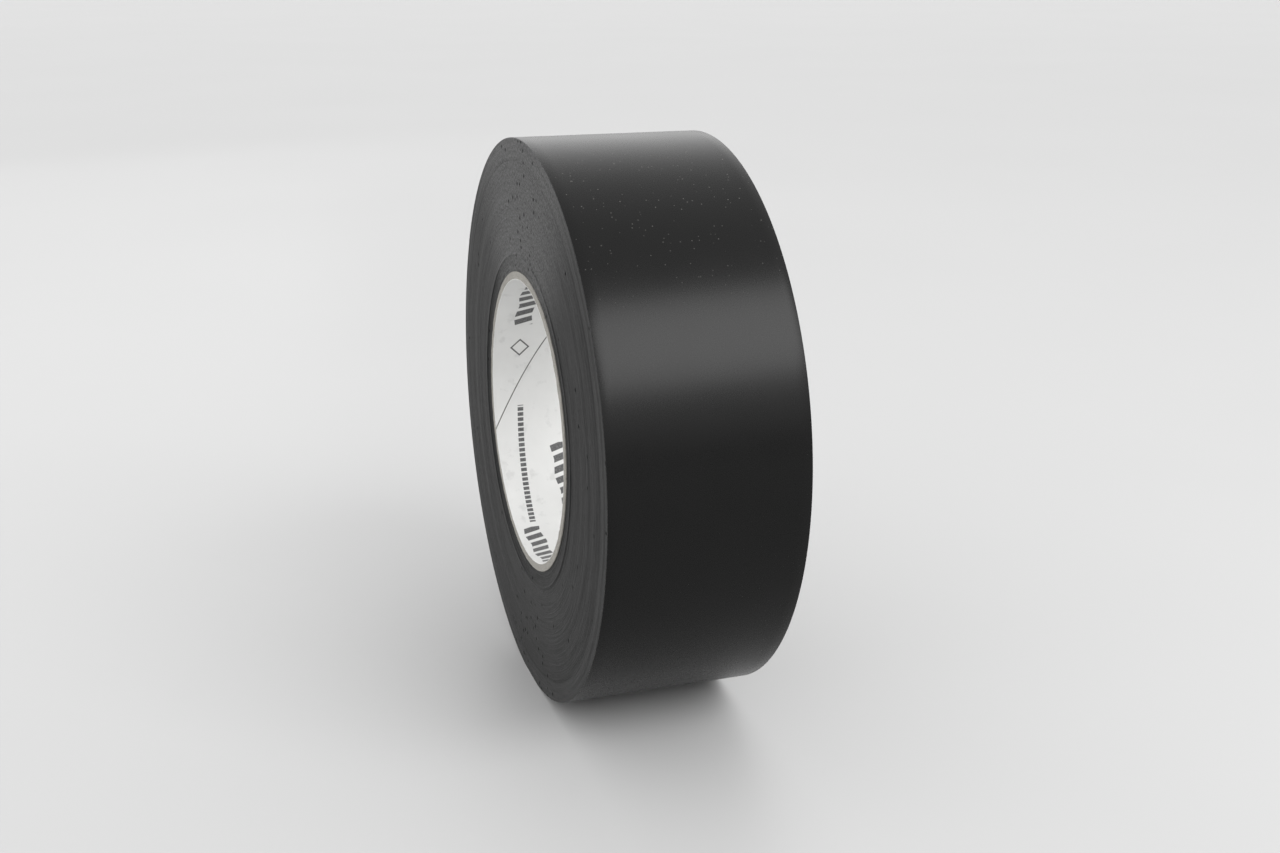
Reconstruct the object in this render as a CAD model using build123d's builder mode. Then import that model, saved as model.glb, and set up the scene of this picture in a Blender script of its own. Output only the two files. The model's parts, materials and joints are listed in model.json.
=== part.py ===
"""A roll of black PVC electrical tape, 50 mm wide, wound on a spiral paper core.

The roll stands on its tread. The origin is the centre of the core's bore, half way across the
width. +Y runs along the bore and +Z is up. Winding angles run from +X towards +Z, and the strip
is wound outwards that way round, so its cut end is at the largest angle.
"""

import os
from math import acos, degrees, sqrt

from build123d import *

os.makedirs("parts", exist_ok=True)

# Driving dimensions, in millimetres and degrees
roll_width = 50.0
roll_radius = 75.0
bore_radius = 38.1
tape_thickness = 0.19
adhesive_thickness = 0.04
inner_stretch_radius = 45.0
standing_flat = 14.0

cut_end_angle = 150.0
free_end_root_angle = 105.0
free_end_links = 3
release_gap = 0.02

liner_thickness = 0.12
board_thickness = 0.62
wrap_thickness = 0.12
seam_pitch = 138.2
seam_middle_angle = 134.3
seam_stagger = 73.0

# The core's plies from the bore outwards: name, thickness, width of the butt seam
core_plies = [
    ("core_liner", liner_thickness, 0.35),
    ("core_ply_inner", board_thickness, 0.30),
    ("core_ply_middle", board_thickness, 0.30),
    ("core_ply_outer", board_thickness, 0.30),
    ("core_wrap", wrap_thickness, 0.25),
]
core_radius = bore_radius + sum(thickness for _, thickness, _ in core_plies)

# One turn of the strip is four tangent quarter arcs. From each to the next the radius grows by
# a quarter of the tape's thickness, and the centre steps round a square of that side.
growth = tape_thickness / 4
start_angle = cut_end_angle - 360
flat_quarter = int((-90 - start_angle) // 90)


def quarter_arc(quarter, inset):
    """Centre and radius of a quarter turn of the strip, inset below its outer face."""
    centre = Vector(0, 0)
    for k in (1, 2):
        centre += Vector(growth / 2, 0).rotate(Axis.Z, start_angle + 90 * k)
    for k in range(1, quarter + 1):
        centre -= Vector(growth, 0).rotate(Axis.Z, start_angle + 90 * k)
    outermost = roll_radius - tape_thickness + growth / 2 + growth * quarter
    return centre, outermost - inset


def wound_edge(inset, first, last, flattened=True):
    """Draw one turn of the strip, inset below its outer face, between two winding angles.

    Where the roll stands the edge is a straight run, and the layers under it keep their thickness.
    """
    for quarter in range(4):
        low = max(first, start_angle + 90 * quarter)
        high = min(last, start_angle + 90 * (quarter + 1))
        if low >= high:
            continue
        centre, radius = quarter_arc(quarter, inset)
        if not flattened or quarter != flat_quarter:
            CenterArc(centre, radius, low, high - low)
            continue
        depth = sqrt((radius + inset) ** 2 - (standing_flat / 2) ** 2) - inset
        half_angle = degrees(acos(depth / radius))
        before = CenterArc(centre, radius, low, -90 - half_angle - low)
        after = CenterArc(centre, radius, -90 + half_angle, high + 90 - half_angle)
        Line(before @ 1, after @ 0)


def spoke_point(angle, inset):
    """The point on the strip at a winding angle, inset below its outer face."""
    centre, radius = quarter_arc(min(int((angle - start_angle) // 90), 3), inset)
    return centre + Vector(radius, 0).rotate(Axis.Z, angle)


def strip_face(outer_inset, inner_inset, first, last):
    """Cross-section of a layer of the last turn, between two winding angles."""
    with BuildSketch(Plane.XZ) as face:
        with BuildLine():
            wound_edge(outer_inset, first, last)
            wound_edge(inner_inset, first, last)
            for angle in (first, last):
                Line(spoke_point(angle, outer_inset), spoke_point(angle, inner_inset))
        make_face()
    return face.sketch


def wound_disc(inset, flattened):
    """Everything within one closed turn, with the step where the strip passes its own end."""
    with BuildSketch(Plane.XZ) as disc:
        with BuildLine():
            wound_edge(inset, start_angle, cut_end_angle, flattened)
            Line(spoke_point(start_angle, inset), spoke_point(cut_end_angle, inset))
        make_face()
    return disc.sketch


def seam_cutter(inner, outer, gap, middle_angle):
    """The helical gap that a spiral-wound ply leaves where its edges meet."""
    overshoot = 1.0
    length = roll_width + 2 * overshoot
    turn = 360 * length / seam_pitch
    section = Plane.XZ.offset(length / 2)
    with BuildSketch(section, mode=Mode.PRIVATE) as slot:
        with Locations(Rot(0, 0, middle_angle + turn / 2) * Pos((inner + outer) / 2, 0)):
            Rectangle(outer - inner + 0.2, gap)
    return Solid.extrude_linear_with_rotation(
        slot.sketch.face(), section.origin, Vector(0, length, 0), turn
    )


# The core: spiral-wound plies, each with a helical butt seam, staggered from ply to ply
ply_inner = bore_radius
for index, (name, thickness, seam_gap) in enumerate(core_plies):
    ply_outer = ply_inner + thickness
    with BuildPart() as ply:
        with BuildSketch(Plane.XZ):
            Circle(ply_outer)
            Circle(ply_inner, mode=Mode.SUBTRACT)
        extrude(amount=roll_width / 2, both=True)
        seam_angle = seam_middle_angle + seam_stagger * index
        add(seam_cutter(ply_inner, ply_outer, seam_gap, seam_angle), mode=Mode.SUBTRACT)
    ply.part.label = name
    export_step(ply.part, f"parts/{name}.step")
    ply_inner = ply_outer

# The first turns of the strip, wound tighter against the core
inner_stretch_inset = roll_radius - inner_stretch_radius
with BuildPart() as inner_turns:
    with BuildSketch(Plane.XZ):
        add(wound_disc(inner_stretch_inset, flattened=False))
        Circle(core_radius, mode=Mode.SUBTRACT)
    extrude(amount=roll_width / 2, both=True)
inner_turns.part.label = "inner_turns"
export_step(inner_turns.part, "parts/inner_turns.step")

# The bulk of the strip, out to the face that the last turn lies on
with BuildPart() as body_turns:
    with BuildSketch(Plane.XZ):
        add(wound_disc(tape_thickness, flattened=True))
        add(wound_disc(inner_stretch_inset, flattened=False), mode=Mode.SUBTRACT)
    extrude(amount=roll_width / 2, both=True)
body_turns.part.label = "body_turns"
export_step(body_turns.part, "parts/body_turns.step")

# The last turn, up to the root of the free end: PVC film outside, adhesive inside
film_thickness = tape_thickness - adhesive_thickness
with BuildPart() as outer_turn_film:
    with BuildSketch(Plane.XZ):
        add(strip_face(0, film_thickness, start_angle, free_end_root_angle))
    extrude(amount=roll_width / 2, both=True)
outer_turn_film.part.label = "outer_turn_film"
export_step(outer_turn_film.part, "parts/outer_turn_film.step")

with BuildPart() as outer_turn_adhesive:
    with BuildSketch(Plane.XZ):
        add(strip_face(film_thickness, tape_thickness, start_angle, free_end_root_angle))
    extrude(amount=roll_width / 2, both=True)
outer_turn_adhesive.part.label = "outer_turn_adhesive"
export_step(outer_turn_adhesive.part, "parts/outer_turn_adhesive.step")

# The free end, which peels off the roll: short links in line, from its root to the cut end
link_angle = (cut_end_angle - free_end_root_angle) / free_end_links
free_end_layers = {
    "film": (0, film_thickness),
    "adhesive": (film_thickness, tape_thickness - release_gap),
}
for link in range(free_end_links):
    first = free_end_root_angle + link_angle * link
    for layer, (outer_inset, inner_inset) in free_end_layers.items():
        with BuildPart() as free_end:
            with BuildSketch(Plane.XZ):
                add(strip_face(outer_inset, inner_inset, first, first + link_angle))
            extrude(amount=roll_width / 2, both=True)
        free_end.part.label = f"free_end_{layer}_{link + 1}"
        export_step(free_end.part, f"parts/{free_end.part.label}.step")
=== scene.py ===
"""A roll of black PVC electrical tape on a spiral paper core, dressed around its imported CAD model."""

import json
import math

import bpy
import numpy as np
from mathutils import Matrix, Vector


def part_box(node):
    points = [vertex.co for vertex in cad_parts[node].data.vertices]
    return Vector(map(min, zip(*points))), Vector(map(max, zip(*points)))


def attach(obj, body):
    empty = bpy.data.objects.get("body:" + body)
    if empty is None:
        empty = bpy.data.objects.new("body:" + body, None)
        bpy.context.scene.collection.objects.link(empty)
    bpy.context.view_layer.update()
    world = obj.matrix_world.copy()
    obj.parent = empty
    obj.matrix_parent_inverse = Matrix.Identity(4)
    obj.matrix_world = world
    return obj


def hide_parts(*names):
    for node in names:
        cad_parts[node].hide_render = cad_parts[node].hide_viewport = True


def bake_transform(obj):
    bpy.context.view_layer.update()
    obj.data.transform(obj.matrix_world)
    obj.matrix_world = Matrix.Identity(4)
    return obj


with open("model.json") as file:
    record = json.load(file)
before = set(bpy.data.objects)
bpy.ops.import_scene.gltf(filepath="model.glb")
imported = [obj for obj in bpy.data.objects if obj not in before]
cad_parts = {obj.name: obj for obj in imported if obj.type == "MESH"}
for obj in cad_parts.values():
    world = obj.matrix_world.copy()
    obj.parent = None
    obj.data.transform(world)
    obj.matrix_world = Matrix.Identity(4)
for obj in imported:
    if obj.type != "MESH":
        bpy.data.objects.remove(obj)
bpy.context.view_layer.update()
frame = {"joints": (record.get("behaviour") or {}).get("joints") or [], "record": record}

# ---------------------------------------------------------------------------------------------
# Sizes, in metres and radians. Winding angles run from +X towards +Z, the way the strip is wound.
# ---------------------------------------------------------------------------------------------
MM = 0.001
tape = 0.19 * MM
adhesive = 0.04 * MM
film = tape - adhesive
release_gap = 0.02 * MM
half_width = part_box("outer_turn_film")[1].y
standing_depth = -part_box("outer_turn_film")[0].z
hinges = [Vector(joint["pos_m"]) for joint in frame["joints"]]
hinge_angles = [math.atan2(hinge.z, hinge.x) for hinge in hinges]
cut_angle = 2 * hinge_angles[2] - hinge_angles[1]
start_angle = cut_angle - 2 * math.pi
roll_radius = hinges[0].xz.length + tape * (cut_angle - hinge_angles[0]) / (2 * math.pi)
bore_radius = next(m for m in frame["record"]["mounts"] if m["name"] == "core_bore")["dims"]["r_mm"] * MM
ply_names = ["core_liner", "core_ply_inner", "core_ply_middle", "core_ply_outer", "core_wrap"]
ply_radii = [bore_radius] + [round(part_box(name)[1].x, 5) for name in ply_names]
core_radius = ply_radii[-1]
inner_stretch_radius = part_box("inner_turns")[1].x
turns = int((roll_radius - core_radius) / tape)
seam_pitch = 138.2 * MM
seam_middle_angle = math.radians(134.3)
seam_stagger = math.radians(73)

# How the wound strip lies. The standing flat dies out over settling_depth. Each turn's edge is crowned
# between two grooves, and the inner turns end in a ridge round a dish.
settling_depth = 12 * MM
edge_crown = (0.0, 0.3, 0.7)
groove_depth = 0.012 * MM
ridge_height = 0.16 * MM
ridge_width = 0.40 * MM
dish_depth = 0.32 * MM
edge_rounding = 0.05 * MM
swell_height = 0.006 * MM
side_drift = 0.03 * MM
crease_angle = math.radians(50)


# ---------------------------------------------------------------------------------------------
# Meshes
# ---------------------------------------------------------------------------------------------
def make_mesh(name, points, quads, unrolled=None):
    """A mesh object from an array of points and an array of four-point faces, unused points left out.

    unrolled, if given, is each point's place along and across the unrolled strip, kept as a UV map.
    """
    used, quads = np.unique(quads, return_inverse=True)
    quads = quads.reshape(-1, 4)
    mesh = bpy.data.meshes.new(name)
    mesh.vertices.add(len(used))
    mesh.vertices.foreach_set("co", points[used].astype(np.float32).ravel())
    mesh.loops.add(quads.size)
    mesh.loops.foreach_set("vertex_index", quads.astype(np.int32).ravel())
    mesh.polygons.add(len(quads))
    mesh.polygons.foreach_set("loop_start", np.arange(0, quads.size, 4, dtype=np.int32))
    mesh.update(calc_edges=True)
    mesh.shade_smooth()
    if unrolled is not None:
        layer = mesh.uv_layers.new(name="unrolled")
        layer.data.foreach_set("uv", unrolled[used][quads.ravel()].astype(np.float32).ravel())
    made = bpy.data.objects.new(name, mesh)
    bpy.context.scene.collection.objects.link(made)
    return made


def grid(ids):
    """The four-point faces of a grid of point numbers, facing first index cross second index."""
    return np.stack([ids[:-1, :-1], ids[1:, :-1], ids[1:, 1:], ids[:-1, 1:]], axis=-1).reshape(-1, 4)


def smooth_noise(length, spacing, seed):
    """Random values between -1 and 1 every so many samples, joined by smooth curves."""
    draws = np.random.default_rng(seed).uniform(-1, 1, int(length / spacing) + 3)
    place = np.arange(length) / spacing
    step = place.astype(int)
    share = place - step
    share = share * share * (3 - 2 * share)
    return draws[step] * (1 - share) + draws[step + 1] * share


def outer_radius(angle, turns_in=0):
    """Radius of the strip's outer face at a winding angle, so many whole turns in from the last one."""
    return roll_radius - tape * ((cut_angle - angle) / (2 * math.pi) + turns_in)


def settled(radius, angle, inset):
    """Radius after the roll has settled on the flat it stands on; the flat dies out further in."""
    nearly_down = 0.9
    down = np.cos(angle + math.pi / 2)
    flat = np.where(down > nearly_down, (standing_depth - inset) / np.maximum(down, nearly_down), radius)
    fade = np.clip(1 - inset / settling_depth, 0, 1)
    return radius + np.minimum(flat - radius, 0) * fade


def strip_drift(segments):
    """How far the strip has wandered along the axis, for each segment of its length from the core.

    Each part of the wandering takes so many turns to come and go, and is so many millimetres deep.
    """
    length = (turns + 1) * segments + 1
    wandering = ((0.4, 0.010), (1.7, 0.016), (7.0, 0.045), (24.0, 0.06))
    drift = sum(
        depth * MM * smooth_noise(length, spread * segments, seed)
        for seed, (spread, depth) in enumerate(wandering)
    )
    radius = core_radius + tape * np.arange(length) / segments
    ridge = np.exp(-(((radius - inner_stretch_radius) / ridge_width) ** 2))
    dish = np.clip((inner_stretch_radius - radius) / (inner_stretch_radius - core_radius), 0, 1)
    return drift - ridge_height * ridge + dish_depth * dish**0.8


def wound_rows(first_turn, last_turn, angle, drift):
    """Radii, shifts along the axis and dips of the rows of points that run along a stretch's turns.

    A row in the groove between two turns is dipped, and shifted half way between them.
    """
    segments = len(angle) - 1
    least_step = 0.01 * MM
    rows = []
    for turn in range(first_turn, last_turn - 1, -1):
        for share in edge_crown if turn > last_turn else edge_crown + (1.0,):
            inset = tape * (turn + 1 - share)
            radius = settled(outer_radius(angle, turn + 1 - share), angle, inset)
            radius = np.maximum(radius, core_radius + least_step * share)
            in_groove = share in (0.0, 1.0)
            here = (turns - turn + int(share)) * segments
            below = max(here - segments, 0) if in_groove else here
            shift = (drift[below : below + segments + 1] + drift[here : here + segments + 1]) / 2
            rows.append((radius, shift, np.full(segments + 1, groove_depth if in_groove else 0.0)))
    return np.array(rows).transpose(1, 0, 2)


def wound_stretch(name, first_turn, last_turn, segments, drift):
    """A stretch of whole turns, as the edges of one continuous strip with a groove between turns.

    Turns are counted inwards from the last one, and each is crowned across its edge.
    """
    angle = np.linspace(start_angle, cut_angle, segments + 1)
    radii, shifts, dips = wound_rows(first_turn, last_turn, angle, drift)
    x, z = radii * np.cos(angle), radii * np.sin(angle)
    near = np.stack([x, -half_width + shifts + dips, z], axis=-1)
    far = np.stack([x, half_width + shifts - dips, z], axis=-1)
    # Each turn ends on the points that the next turn out begins with, three rows further on.
    ids = np.arange(radii.size).reshape(radii.shape)
    ids[:-3, -1] = ids[3:, 0]
    other = ids + radii.size
    quads = [
        grid(ids),
        grid(other.T),
        grid(np.stack([ids[0], other[0]]).T),
        grid(np.stack([ids[-1], other[-1]])),
        grid(np.stack([ids[:4, 0], other[:4, 0]])),
        grid(np.stack([ids[-4:, -1], other[-4:, -1]]).T),
    ]
    points = np.concatenate([near.reshape(-1, 3), far.reshape(-1, 3)])
    return make_mesh(name, points, np.concatenate(quads))


def rounded_section(columns, shoulder):
    """Across the strip's width, from -1 to 1, and how far each place stands in from its face.

    Each rounded edge has three places, the last of them on the face, and the rest are even.
    """
    clear_of_edge = 0.98
    across = np.linspace(-1, 1, columns)
    rounding = np.array([0.0, 0.35, 1.0]) * shoulder
    edge = 1 - rounding / half_width
    inset = shoulder * (1 - np.sqrt(1 - (1 - rounding / shoulder) ** 2))
    place = np.concatenate([-edge, across[1:-1] * edge[-1] * clear_of_edge, edge[::-1]])
    inset = np.concatenate([inset, np.zeros(columns - 2), inset[::-1]])
    return place, inset


def ragged_cut(angle, place, depth):
    """Winding angles whose last rows run out unevenly, as a roughly cut end does."""
    wave = smooth_noise(len(place), 2.5, 31) + 0.5 * smooth_noise(len(place), 1.0, 32)
    share = ((angle - angle[0]) / (angle[-1] - angle[0])) ** 8
    return angle + share * wave * depth / roll_radius


def surface_swell(angle, place):
    """The gentle waviness across the strip's face, which dies out at its long edges."""
    swell = np.outer(np.sin(3 * angle[:, 0] + 0.7), np.cos(4 * place)) + np.cos(9 * place + 1.0)
    return swell_height * swell * (1 - place**6)


def strip_layer(name, top, bottom, first, last, columns=21, step=math.radians(1), ragged=0.0):
    """One layer of the last turn between two winding angles.

    Top and bottom are measured in from its outer face. Its long edges are rounded, and ragged is how
    far its cut end runs out unevenly.
    """
    segments = max(int(round((last - first) / step)), 4)
    place, rounding = rounded_section(columns, min(edge_rounding, (bottom - top) / 3))
    angle = np.linspace(first, last, segments + 1)[:, None] + 0 * place[None, :]
    if ragged:
        angle = ragged_cut(angle, place, ragged)
    swell = surface_swell(angle, place)
    drift = side_drift * np.sin(angle + 0.4)
    sheets = []
    for inset, inward in ((top, 1), (bottom, -1)):
        depth = inset + inward * rounding - swell
        radius = settled(outer_radius(angle) - depth, angle, depth)
        points = [radius * np.cos(angle), place * half_width + drift, radius * np.sin(angle)]
        sheets.append(np.stack(points, axis=-1))
    outer = np.arange(angle.size).reshape(angle.shape)
    inner = outer + angle.size
    quads = [
        grid(outer.T),
        grid(inner),
        grid(np.stack([inner[:, 0], outer[:, 0]])),
        grid(np.stack([inner[:, -1], outer[:, -1]]).T),
        grid(np.stack([inner[0], outer[0]]).T),
        grid(np.stack([inner[-1], outer[-1]])),
    ]
    points = np.concatenate([sheet.reshape(-1, 3) for sheet in sheets])
    unrolled = np.stack([angle * roll_radius, place * half_width + drift], axis=-1).reshape(-1, 2)
    made = make_mesh(name, points, np.concatenate(quads), np.tile(unrolled, (2, 1)) / MM)
    made.data.set_sharp_from_angle(angle=crease_angle)
    return made


def spiral_ply(name, inner, outer, seam_angle, gap, around, along, fuzz, lip=0.0):
    """A spiral-wound ply: a sheared tube whose two long edges meet along the helical seam.

    Its points crowd towards the seam, where the edges may curl in by a lip. fuzz is the roughness of
    the ends.
    """
    crowding = 0.8
    lip_reach = 1.2 * MM
    share = np.linspace(0, 1, around + 1)
    share = share - crowding * np.sin(2 * math.pi * share) / (2 * math.pi)
    depths = np.linspace(0, 1, 4)
    y = np.linspace(-half_width, half_width, along + 1)
    turn = -2 * math.pi / seam_pitch
    gap_angle = gap / inner
    seam = seam_angle + turn * y[:, None] + gap_angle / 2
    angle = seam + share[None, :] * (2 * math.pi - gap_angle)
    rough = np.random.default_rng(len(name) + around)
    shape = angle.shape
    layers = []
    for depth in depths:
        radius = inner + depth * (outer - inner) + np.zeros(shape)
        near_seam = np.minimum(share, 1 - share)[None, :] * 2 * math.pi * inner
        radius = radius - lip * np.exp(-((near_seam / lip_reach) ** 2)) * (1 - depth)
        place = np.repeat(y[:, None], around + 1, axis=1)
        for row, sign in ((0, -1), (-1, 1)):
            place[row] += sign * fuzz * (rough.normal(size=around + 1) * 0.5 - 0.3)
            radius[row] += rough.normal(size=around + 1) * fuzz * 0.12 * (depth == 0)
        layers.append(np.stack([radius * np.cos(angle), place, radius * np.sin(angle)], axis=-1))
    size = shape[0] * shape[1]
    ids = [np.arange(size).reshape(shape) + k * size for k in range(len(depths))]
    block = np.stack(ids)
    quads = [
        grid(ids[0].T),
        grid(ids[-1]),
        grid(block[:, 0, :]),
        grid(block[:, -1, :].T),
        grid(block[:, :, 0].T),
        grid(block[:, :, -1]),
    ]
    made = make_mesh(name, np.concatenate([p.reshape(-1, 3) for p in layers]), np.concatenate(quads))
    made.data.set_sharp_from_angle(angle=crease_angle)
    return made


# ---------------------------------------------------------------------------------------------
# Materials. Places are in millimetres, and bump distances in metres.
# ---------------------------------------------------------------------------------------------
bore_arc = bore_radius / MM * math.pi / 180  # along the bore, for each degree round it


class Wire:
    """A node's output that can be used in sums."""

    def __init__(self, shade, socket):
        self.shade, self.socket = shade, socket

    def __add__(self, other):
        return self.shade.sum("ADD", self, other)

    def __sub__(self, other):
        return self.shade.sum("SUBTRACT", self, other)

    def __rsub__(self, other):
        return self.shade.sum("SUBTRACT", other, self)

    def __mul__(self, other):
        return self.shade.sum("MULTIPLY", self, other)

    def __truediv__(self, other):
        return self.shade.sum("DIVIDE", self, other)

    __radd__, __rmul__ = __add__, __mul__


class Shade:
    """A material's node tree around one Principled shader."""

    def __init__(self, name, **settings):
        self.material = bpy.data.materials.new(name)
        self.material.use_nodes = True
        self.nodes = self.material.node_tree.nodes
        self.shader = self.nodes["Principled BSDF"]
        for socket, value in settings.items():
            self.shader.inputs[socket.replace("_", " ")].default_value = value

    def join(self, socket, value):
        if isinstance(value, Wire):
            self.material.node_tree.links.new(value.socket, socket)
        else:
            socket.default_value = value

    def add(self, kind, out, inputs=(), **settings):
        node = self.nodes.new(kind)
        for key, value in settings.items():
            setattr(node, key, value)
        for key, value in dict(inputs).items():
            self.join(node.inputs[key], value)
        return Wire(self, node.outputs[out])

    def sum(self, operation, *values):
        return self.add("ShaderNodeMath", 0, enumerate(values), operation=operation)

    def split(self, vector):
        node = self.nodes.new("ShaderNodeSeparateXYZ")
        self.join(node.inputs[0], vector)
        return [Wire(self, output) for output in node.outputs]

    def point(self):
        """The place on the object, in millimetres."""
        return [axis * 1000 for axis in self.split(self.add("ShaderNodeTexCoord", "Object"))]

    def unrolled(self):
        """The place along and across the unrolled strip, in millimetres."""
        along, across, _ = self.split(self.add("ShaderNodeUVMap", "UV", uv_map="unrolled"))
        return along, across

    def vector(self, x, y, z=0.0):
        return self.add("ShaderNodeCombineXYZ", 0, {0: x, 1: y, 2: z})

    def noise(self, vector, scale=1.0, detail=2.0, roughness=0.5):
        inputs = {"Vector": vector, "Scale": scale, "Detail": detail, "Roughness": roughness}
        return self.add("ShaderNodeTexNoise", "Fac", inputs)

    def spots(self, vector, scale, kind="Distance"):
        return self.add("ShaderNodeTexVoronoi", kind, {"Vector": vector, "Scale": scale})

    def ramp(self, value, low, high, start=0.0, end=1.0):
        """A smooth step from start, where value is at or under low, to end at or over high."""
        inputs = {0: value, 1: low, 2: high, 3: start, 4: end}
        return self.add("ShaderNodeMapRange", 0, inputs, interpolation_type="SMOOTHSTEP")

    def within(self, value, low, high, soft):
        """1 between low and high, falling to 0 over a soft edge."""
        return self.ramp(value, low - soft, low) * self.ramp(value, high, high + soft, 1.0, 0.0)

    def mix(self, share, first, second):
        inputs = {"Factor": share, "A": first, "B": second}
        node = self.nodes.new("ShaderNodeMix")
        node.data_type = "RGBA"
        for key, value in inputs.items():
            sockets = [s for s in node.inputs if s.name == key and s.enabled]
            self.join(sockets[0], value)
        return Wire(self, next(s for s in node.outputs if s.enabled))

    def grey(self, value):
        return self.add("ShaderNodeCombineColor", 0, {0: value, 1: value, 2: value})

    def bump(self, height, strength, distance):
        """Raise the surface, or seem to, by height times distance."""
        inputs = {"Height": height, "Strength": strength, "Distance": distance}
        self.join(self.shader.inputs["Normal"], self.add("ShaderNodeBump", 0, inputs))

    def colour(self, value):
        self.join(self.shader.inputs["Base Color"], value)

    def roughness(self, value):
        self.join(self.shader.inputs["Roughness"], value)


def polar(shade):
    """Distance from the core's axis in millimetres, and the direction from it as a cosine and a sine."""
    x, _, z = shade.point()
    radius = shade.sum("SQRT", x * x + z * z)
    return radius, x / radius, z / radius


def film_material():
    """Satin black PVC film: calender grain, faint lines along the strip, and dust on what faces up."""
    shade = Shade("pvc_film", IOR=1.28)
    along, across = shade.unrolled()
    place = shade.vector(along, across)
    grain = shade.noise(place, 1.6, 4.0, 0.6)
    lines = shade.noise(shade.vector(along * 0.02, across), 1.1, 3.0)
    mottle = shade.noise(place, 0.09, 3.0)
    up = shade.split(shade.add("ShaderNodeNewGeometry", "Normal"))[2]
    speck_scale = 0.8
    speck = shade.spots(place, speck_scale)
    chance = shade.split(shade.spots(place, speck_scale, "Color"))[0]
    dust = shade.ramp(speck, 0.04, 0.17, 1.0, 0.0) * shade.ramp(chance + mottle * 0.8, 0.84, 1.1)
    dust = dust * shade.ramp(up, 0.45, 0.95)
    fine = shade.ramp(shade.noise(place, 3.0, 2.0, 0.7), 0.66, 0.78) * shade.ramp(up, 0.5, 1.0)
    black = shade.mix(mottle, (0.0010, 0.0010, 0.0010, 1), (0.0020, 0.0020, 0.0019, 1))
    black = shade.mix(fine * 0.12, black, (0.10, 0.10, 0.10, 1))
    shade.colour(shade.mix(dust * 0.50, black, (0.20, 0.195, 0.185, 1)))
    shade.roughness(0.23 + grain * 0.05 + mottle * 0.04 + dust * 0.3)
    shade.bump(grain * 0.6 + lines * 0.5 + dust * 1.5, 0.35, 0.012 * MM)
    return shade.material


def edge_material():
    """The wound edges of the strip: matt dark grey, banded turn by turn, pitted, with grit and painted
    light on top and painted shade in the dish round the core.

    Where the free end has peeled away, the tread under it is bare film and not an edge.
    """
    shade = Shade("wound_edges", IOR=1.13)
    radius, cosine, sine = polar(shade)
    x, y, z = shade.point()
    place = shade.vector(x, z, y)
    turns_fine = shade.noise(shade.vector(radius * 2.4, cosine * 5, sine * 5), 1.0, 3.0, 0.7)
    bands = shade.noise(shade.vector(radius * 0.32, cosine * 0.5, sine * 0.5), 1.0, 2.0, 0.6)
    streaks = shade.noise(shade.vector(radius * 3.6, cosine * 26, sine * 26), 1.0, 2.0, 0.7)
    grain = shade.noise(place, 2.2, 3.0, 0.75)
    grit = shade.noise(place, 1.2, 2.0, 0.6)
    lit = (bands - 0.5) * 1.4 + (turns_fine - 0.5) * 3.0
    lit = lit + (streaks - 0.5) * 2.0 + (grain - 0.5) * 2.2
    outer_band = shade.ramp(radius, 69.7, 70.3) - shade.within(radius, 69.0, 69.5, 0.2)
    # Painted shade: inside the ridge at about 45 mm, the dish round the core is made darker in colour.
    painted_dish_shade = shade.ramp(radius, 44.4, 45.2, 0.45, 0.0)
    pit_scale = 0.42
    pit = shade.spots(place, pit_scale)
    chance = shade.split(shade.spots(place, pit_scale, "Color"))[0]
    clustered = shade.ramp(sine, 0.93, 1.0, 0.0, 0.34) + shade.ramp(sine, -1.0, -0.90, 0.30, 0.0)
    pits = shade.ramp(pit, 0.12, 0.30, 1.0, 0.0) * shade.ramp(chance + clustered, 0.94, 0.99)
    # Painted light with grit: the top of the face is made lighter in colour, patchily, as light from
    # above shows it.
    painted_light_and_grit = shade.ramp(grain * 0.4 + grit * 0.6, 0.41, 0.60, 0.7, 3.6)
    top_painted_light_and_grit = shade.ramp(sine, 0.66, 0.98) * painted_light_and_grit
    tone = 1 + lit + outer_band * 0.35 - painted_dish_shade + top_painted_light_and_grit
    tone = shade.sum("MAXIMUM", tone, 0.12) * (1 - pits * 0.9)
    bare_film = shade.within(y, -24.6, 24.6, 0.1) * shade.ramp(radius, 72.0, 73.0)
    rough_edge = 1 - bare_film
    shade.colour(shade.grey(tone * rough_edge * 0.019 + bare_film * 0.003))
    matt = streaks * 0.26 + bands * 0.14 + pits * 0.25
    shade.roughness(0.18 + matt * rough_edge + bare_film * 0.16)
    height = turns_fine * 0.9 + streaks * 0.9 + grain * 0.9 - pits * 3.0
    shade.bump(height * rough_edge, 0.7, 0.06 * MM)
    return shade.material


def adhesive_material():
    """Black rubber adhesive, tacky and glossy, pulled into fine lines across the strip."""
    shade = Shade("adhesive", IOR=1.5)
    along, across = shade.unrolled()
    pulled = shade.noise(shade.vector(along * 1.4, across * 0.25), 1.0, 4.0, 0.6)
    blotch = shade.noise(shade.vector(along, across), 0.35, 3.0)
    shade.colour(shade.mix(blotch, (0.006, 0.006, 0.006, 1), (0.014, 0.013, 0.012, 1)))
    shade.roughness(0.14 + blotch * 0.18)
    shade.bump(pulled + blotch, 0.5, 0.03 * MM)
    return shade.material


def board_material():
    """Raw grey-beige board with fibres and darker flecks."""
    shade = Shade("core_board", IOR=1.4, Roughness=0.9)
    radius, cosine, sine = polar(shade)
    x, y, z = shade.point()
    place = shade.vector(x, y, z)
    fibre = shade.noise(shade.vector(radius * 5.0, cosine * 30, sine * 30 + y * 4.0), 1.0, 4.0, 0.7)
    blotch = shade.noise(place, 0.5, 4.0, 0.6)
    fleck = shade.ramp(shade.noise(place, 3.0, 2.0), 0.58, 0.70)
    board = shade.mix(blotch, (0.17, 0.163, 0.146, 1), (0.31, 0.298, 0.272, 1))
    board = shade.mix(fibre * 0.6, board, (0.38, 0.368, 0.34, 1))
    shade.colour(shade.mix(fleck * 0.6, board, (0.10, 0.09, 0.075, 1)))
    shade.bump(fibre + blotch * 0.5, 0.8, 0.08 * MM)
    return shade.material


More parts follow.
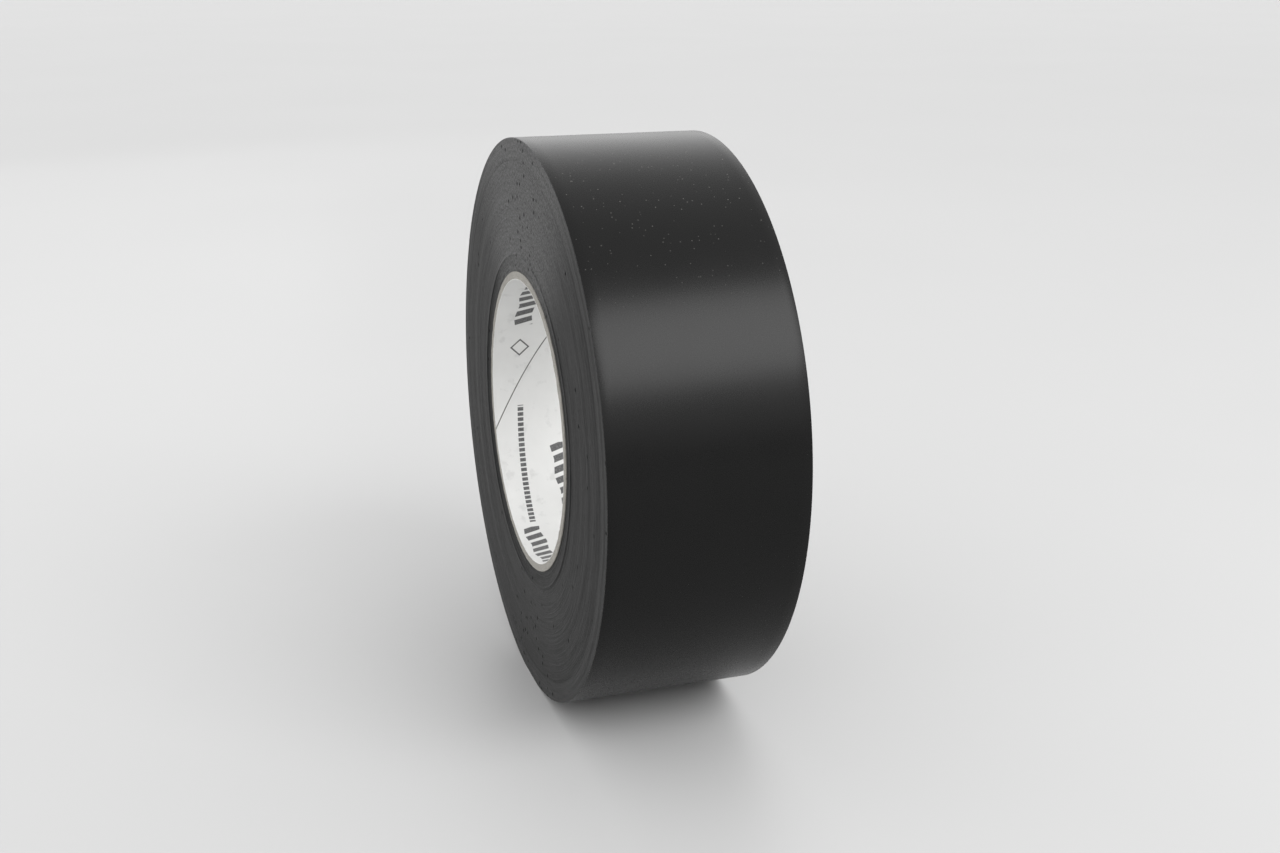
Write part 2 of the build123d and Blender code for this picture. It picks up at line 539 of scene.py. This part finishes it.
def bar_blocks(shade, angle, arc, y):
    """Blocks of slanted bars, whose ends step in and out over every three bars.

    Like all the printing, each is placed in degrees round the bore and millimetres across it.
    """
    blocks = []
    for centre, middle, tall in ((133, -16.8, 4.8), (267, -20.6, 4.6), (226, -7.2, 4.2), (43, 2.0, 4.6)):
        slant = arc + (y - middle) * 0.30
        bars = shade.ramp(shade.sum("PINGPONG", slant, 1.7), 0.98, 1.12, 1.0, 0.0)
        uneven = shade.sum("PINGPONG", slant, 5.1) * 0.16
        block = shade.within(angle, centre - 18, centre + 18, 0.1) * bars
        low, high = middle - tall / 2 + 0.4, middle + tall / 2 + 0.4
        blocks.append(block * shade.within(y + uneven, low, high, 0.12))
    return blocks


def dash_rows(shade, angle, arc, y):
    """Rows of short dashes that run round the bore and drift a little across it."""
    rows = []
    for centre, middle in ((218, -18.4), (84, 6.0), (340, -4.0)):
        drift = middle - (angle - centre) * 0.045
        dash = shade.ramp(shade.sum("PINGPONG", arc, 0.75), 0.50, 0.58, 1.0, 0.0)
        row = shade.within(angle, centre - 28, centre + 28, 0.1) * dash
        rows.append(row * shade.within(y - drift, -0.8, 0.8, 0.12))
    return rows


def diamonds(shade, arc, y):
    """Hollow diamonds."""
    outlines = []
    for centre, middle in ((163, -17.2), (296, -21.0), (74, 2.0)):
        along = shade.sum("ABSOLUTE", arc - centre * bore_arc)
        outlines.append(shade.within(along + shade.sum("ABSOLUTE", y - middle), 2.3, 2.8, 0.12))
    return outlines


def liner_material():
    """Smooth off-white liner paper with plain grey printing, and dark cut edges along the seam, partly
    grey cut edge and partly painted shadow of the seam's gap.
    """
    shade = Shade("liner_paper", IOR=1.4)
    x, y, z = shade.point()
    angle = shade.sum("ARCTAN2", z, x) * (180 / math.pi)
    angle = angle + shade.sum("LESS_THAN", angle, 0.0) * 360
    arc = angle * bore_arc
    place = shade.vector(x, y, z)
    cloud = shade.noise(place, 0.07, 3.0, 0.6)
    smudge = shade.ramp(shade.noise(place, 0.20, 4.0, 0.65), 0.56, 0.70)
    wisp = shade.noise(shade.vector(x * 0.6, y * 3.0, z * 0.6), 1.0, 4.0, 0.6)
    paper = shade.mix(cloud, (0.61, 0.61, 0.60, 1), (0.74, 0.74, 0.73, 1))
    paper = shade.mix(smudge * 0.20, paper, (0.28, 0.28, 0.275, 1))
    marks = bar_blocks(shade, angle, arc, y) + dash_rows(shade, angle, arc, y) + diamonds(shade, arc, y)
    ink = marks[0]
    for mark in marks[1:]:
        ink = ink + mark
    patchy = shade.noise(place, 2.2, 3.0, 0.7)
    ink = shade.sum("MINIMUM", ink, 1.0) * shade.ramp(patchy, 0.25, 0.62, 0.80, 0.95)
    paper = shade.mix(ink, paper, (0.050, 0.050, 0.052, 1))
    past_seam = angle - math.degrees(seam_middle_angle) + y * (360 * MM / seam_pitch)
    past_seam = shade.sum("ABSOLUTE", shade.sum("WRAP", past_seam, 180.0, -180.0))
    # Painted shadow with cut edges: the paper is darkened along both edges of the seam, for the gap's
    # shadow and the grey cut edges.
    cut_edge_and_seam_shadow = shade.ramp(past_seam * bore_arc, 0.20, 0.42, 1.0, 0.0)
    shade.colour(shade.mix(cut_edge_and_seam_shadow * 0.85, paper, (0.05, 0.048, 0.042, 1)))
    shade.roughness(0.42 + wisp * 0.12)
    shade.bump(wisp + cloud * 2.0, 0.25, 0.03 * MM)
    return shade.material


# ---------------------------------------------------------------------------------------------
# The core
# ---------------------------------------------------------------------------------------------
liner, board = liner_material(), board_material()
for index, node in enumerate(ply_names):
    paper = index == 0
    ply = spiral_ply(
        node + "_paper" if paper else node + "_board",
        ply_radii[index],
        ply_radii[index + 1],
        seam_middle_angle + seam_stagger * index,
        (0.35 if paper else 0.25) * MM,
        around=420 if paper else 300,
        along=60 if paper else 50,
        fuzz=(0.03 if paper else 0.07) * MM,
        lip=0.05 * MM if paper else 0.0,
    )
    ply.data.materials.append(liner if paper else board)
    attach(ply, "roll")
    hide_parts(node)

# ---------------------------------------------------------------------------------------------
# The wound strip
# ---------------------------------------------------------------------------------------------
wound_edges, pvc, glue = edge_material(), film_material(), adhesive_material()
segments = 144
drift = strip_drift(segments)
inner_turn = int(round((roll_radius - inner_stretch_radius) / tape))
third, two_thirds = 53, 105
stretches = [
    ("wound_edges_inner", turns - 1, inner_turn, "inner_turns"),
    ("wound_edges_first", inner_turn - 1, two_thirds, "body_turns"),
    ("wound_edges_second", two_thirds - 1, third, "body_turns"),
    ("wound_edges_third", third - 1, 1, "body_turns"),
]
for name, first_turn, last_turn, node in stretches:
    wound = wound_stretch(name, first_turn, last_turn, segments, drift)
    wound.data.materials.append(wound_edges)
    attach(wound, "roll")
    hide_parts(node)

for layer, top, bottom, surface in (("film", 0.0, film, pvc), ("adhesive", film, tape, glue)):
    last = strip_layer(f"last_turn_{layer}", top, bottom, start_angle, hinge_angles[0])
    last.data.materials.append(surface)
    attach(last, "roll")
    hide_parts(f"outer_turn_{layer}")

# ---------------------------------------------------------------------------------------------
# The free end: three lengths over the hinges, each made as its own pieces at rest
# ---------------------------------------------------------------------------------------------
# Past the root hinge, two lengths meet half way between hinges, so that each bend falls inside one.
link = hinge_angles[1] - hinge_angles[0]
cuts = [hinge_angles[0], hinge_angles[0] + link / 2, hinge_angles[1] + link / 2, cut_angle]
bodies = ["roll", "free_end_root", "free_end_middle", "free_end_tip"]
bend_reaches = [(4 * MM, 6 * MM), (9.5 * MM, 9.5 * MM), (9.5 * MM, 9.5 * MM)]
for index, (before, beyond) in enumerate(bend_reaches):
    for layer, top, bottom, surface in (("film", 0.0, film, pvc), ("adhesive", film, tape, glue)):
        piece = strip_layer(
            f"{bodies[index + 1]}_{layer}",
            top,
            bottom - (release_gap if layer == "adhesive" else 0),
            cuts[index],
            cuts[index + 1],
            step=math.radians(0.25),
            ragged=0.25 * MM if index == 2 else 0.0,
        )
        piece.data.materials.append(surface)
        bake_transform(piece)
        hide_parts(f"free_end_{layer}_{index + 1}")

# ---------------------------------------------------------------------------------------------
# Studio: a pale seamless floor, soft light and the camera
# ---------------------------------------------------------------------------------------------
scene = bpy.context.scene
scene.view_settings.view_transform = "Standard"


def pale_floor(reach=20.0, tone=0.395):
    """A wide flat paper floor under the roll, very slightly uneven in tone."""
    corners = [(x, y, -standing_depth) for x in (-reach, reach) for y in (-reach, reach)]
    floor = make_mesh("studio_floor", np.array(corners), grid(np.arange(4).reshape(2, 2)))
    shade = Shade("floor_paper", IOR=1.4, Roughness=0.42)
    x, y, z = shade.point()
    unevenness = shade.noise(shade.vector(x, y, z), 0.004, 3.0)
    shade.colour(shade.grey(tone + (unevenness - 0.5) * 0.02))
    floor.data.materials.append(shade.material)


def soft_light(name, azimuth, elevation, width, height, power, distance=1.2):
    """A light panel that faces the roll, placed by its direction in degrees from +X towards +Y."""
    a, e = math.radians(azimuth), math.radians(elevation)
    place = Vector((math.cos(a) * math.cos(e), math.sin(a) * math.cos(e), math.sin(e))) * distance
    lamp = bpy.data.lights.new(name, "AREA")
    lamp.shape = "RECTANGLE"
    lamp.size, lamp.size_y = width, height
    lamp.energy = power
    made = bpy.data.objects.new(name, lamp)
    made.location = place
    made.rotation_euler = (-place).to_track_quat("-Z", "Y").to_euler()
    scene.collection.objects.link(made)


def studio_sky(strength=1.6):
    """Soft white all round: dimmest at the horizon, brightest a little above it, softer overhead."""
    world = bpy.data.worlds.new("studio")
    world.use_nodes = True
    nodes, links = world.node_tree.nodes, world.node_tree.links
    direction = nodes.new("ShaderNodeTexCoord")
    split = nodes.new("ShaderNodeSeparateXYZ")
    ramp = nodes.new("ShaderNodeValToRGB")
    ramp.color_ramp.interpolation = "EASE"
    stops = ((0.0, 0.46), (0.20, 0.98), (0.45, 1.04), (0.85, 0.74))
    while len(ramp.color_ramp.elements) < len(stops):
        ramp.color_ramp.elements.new(0.5)
    for element, (height, tone) in zip(ramp.color_ramp.elements, stops):
        element.position, element.color = height, (tone, tone, tone, 1)
    links.new(direction.outputs["Generated"], split.inputs[0])
    links.new(split.outputs[2], ramp.inputs["Fac"])
    links.new(ramp.outputs["Color"], nodes["Background"].inputs["Color"])
    nodes["Background"].inputs["Strength"].default_value = strength
    scene.world = world


def photo_camera(azimuth, elevation, distance, tilt_down, heading, lens):
    """The photograph's camera: where it stands, from -Y towards +X, how it is aimed, and its lens."""
    a, e = math.radians(azimuth), math.radians(elevation)
    data = bpy.data.cameras.new("camera")
    data.sensor_width = 36
    data.lens = lens
    data.clip_start = 0.01
    camera = bpy.data.objects.new("camera", data)
    place = Vector((math.sin(a) * math.cos(e), -math.cos(a) * math.cos(e), math.sin(e)))
    camera.location = distance * place
    camera.rotation_euler = (math.radians(90 - tilt_down), 0, math.radians(heading))
    scene.collection.objects.link(camera)
    scene.camera = camera


pale_floor()
soft_light("key", azimuth=25, elevation=40, width=0.9, height=0.66, power=10.8)
soft_light("fill", azimuth=300, elevation=18, width=0.8, height=0.4, power=2.0)
soft_light("back", azimuth=197, elevation=12, width=0.9, height=0.3, power=0.5)
studio_sky()
photo_camera(azimuth=72.74, elevation=16.93, distance=0.4179, tilt_down=17.42, heading=71.74, lens=43.1)
